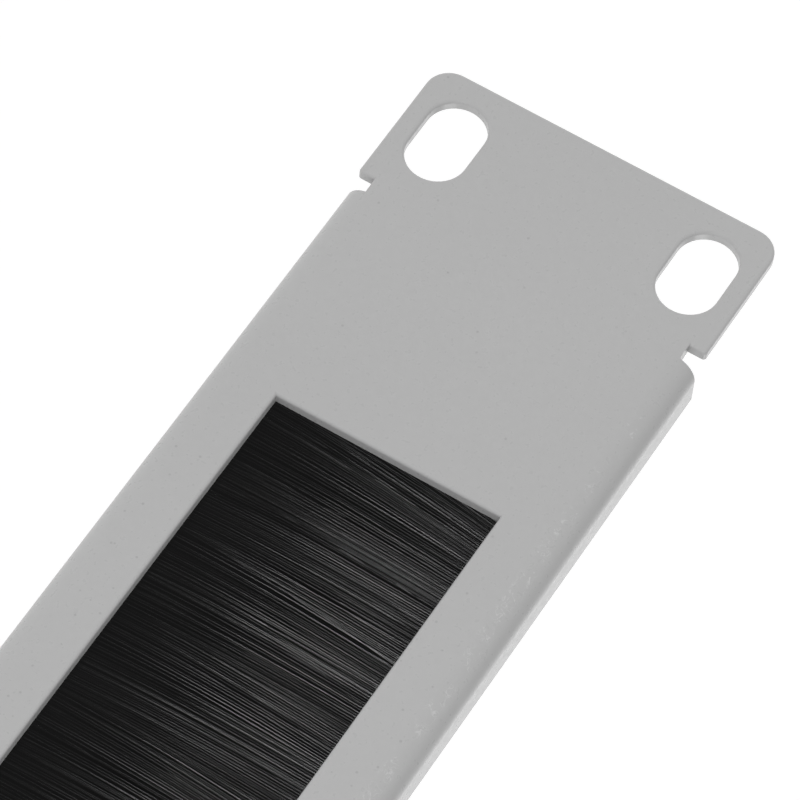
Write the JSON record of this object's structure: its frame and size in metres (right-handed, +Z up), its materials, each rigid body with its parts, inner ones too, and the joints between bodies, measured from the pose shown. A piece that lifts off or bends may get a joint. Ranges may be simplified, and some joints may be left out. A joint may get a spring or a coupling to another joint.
{
  "type": "rack brush strip panel",
  "caption": "Light grey folded steel panel one rack unit high, slotted ears at both ends, with a dark strip brush hanging behind a long cable window.",
  "frame": {"origin": "centre of the four rack slots, on the ears' rear plane, where they meet the rack's posts", "axes": "+X along the panel, +Y into the rack, +Z up; the brush hangs from +Z down"},
  "size_m": [0.4826, 0.0063, 0.0438],
  "materials": {
    "powder_coat": "light grey satin powder coat with a fine orange-peel texture",
    "galvanised_sheet": "zinc-galvanised sheet, dull, faint spangle",
    "channel_strip": "galvanised strip with roll-forming marks",
    "wire": "drawn steel wire",
    "nylon_bristle": "black crimped nylon filament with a soft sheen",
    "stud_copper_flash": "copper-flashed weld stud",
    "zinc_plate": "bright zinc plate"
  },
  "bodies": {
    "root": {"front_panel": "powder_coat", "retainer_rail": "galvanised_sheet", "brush_channel": "channel_strip", "core_wire": "wire", "bristles": "nylon_bristle", "weld_studs": "stud_copper_flash", "washers": "zinc_plate", "nuts": "zinc_plate"}
  },
  "joints": []
}
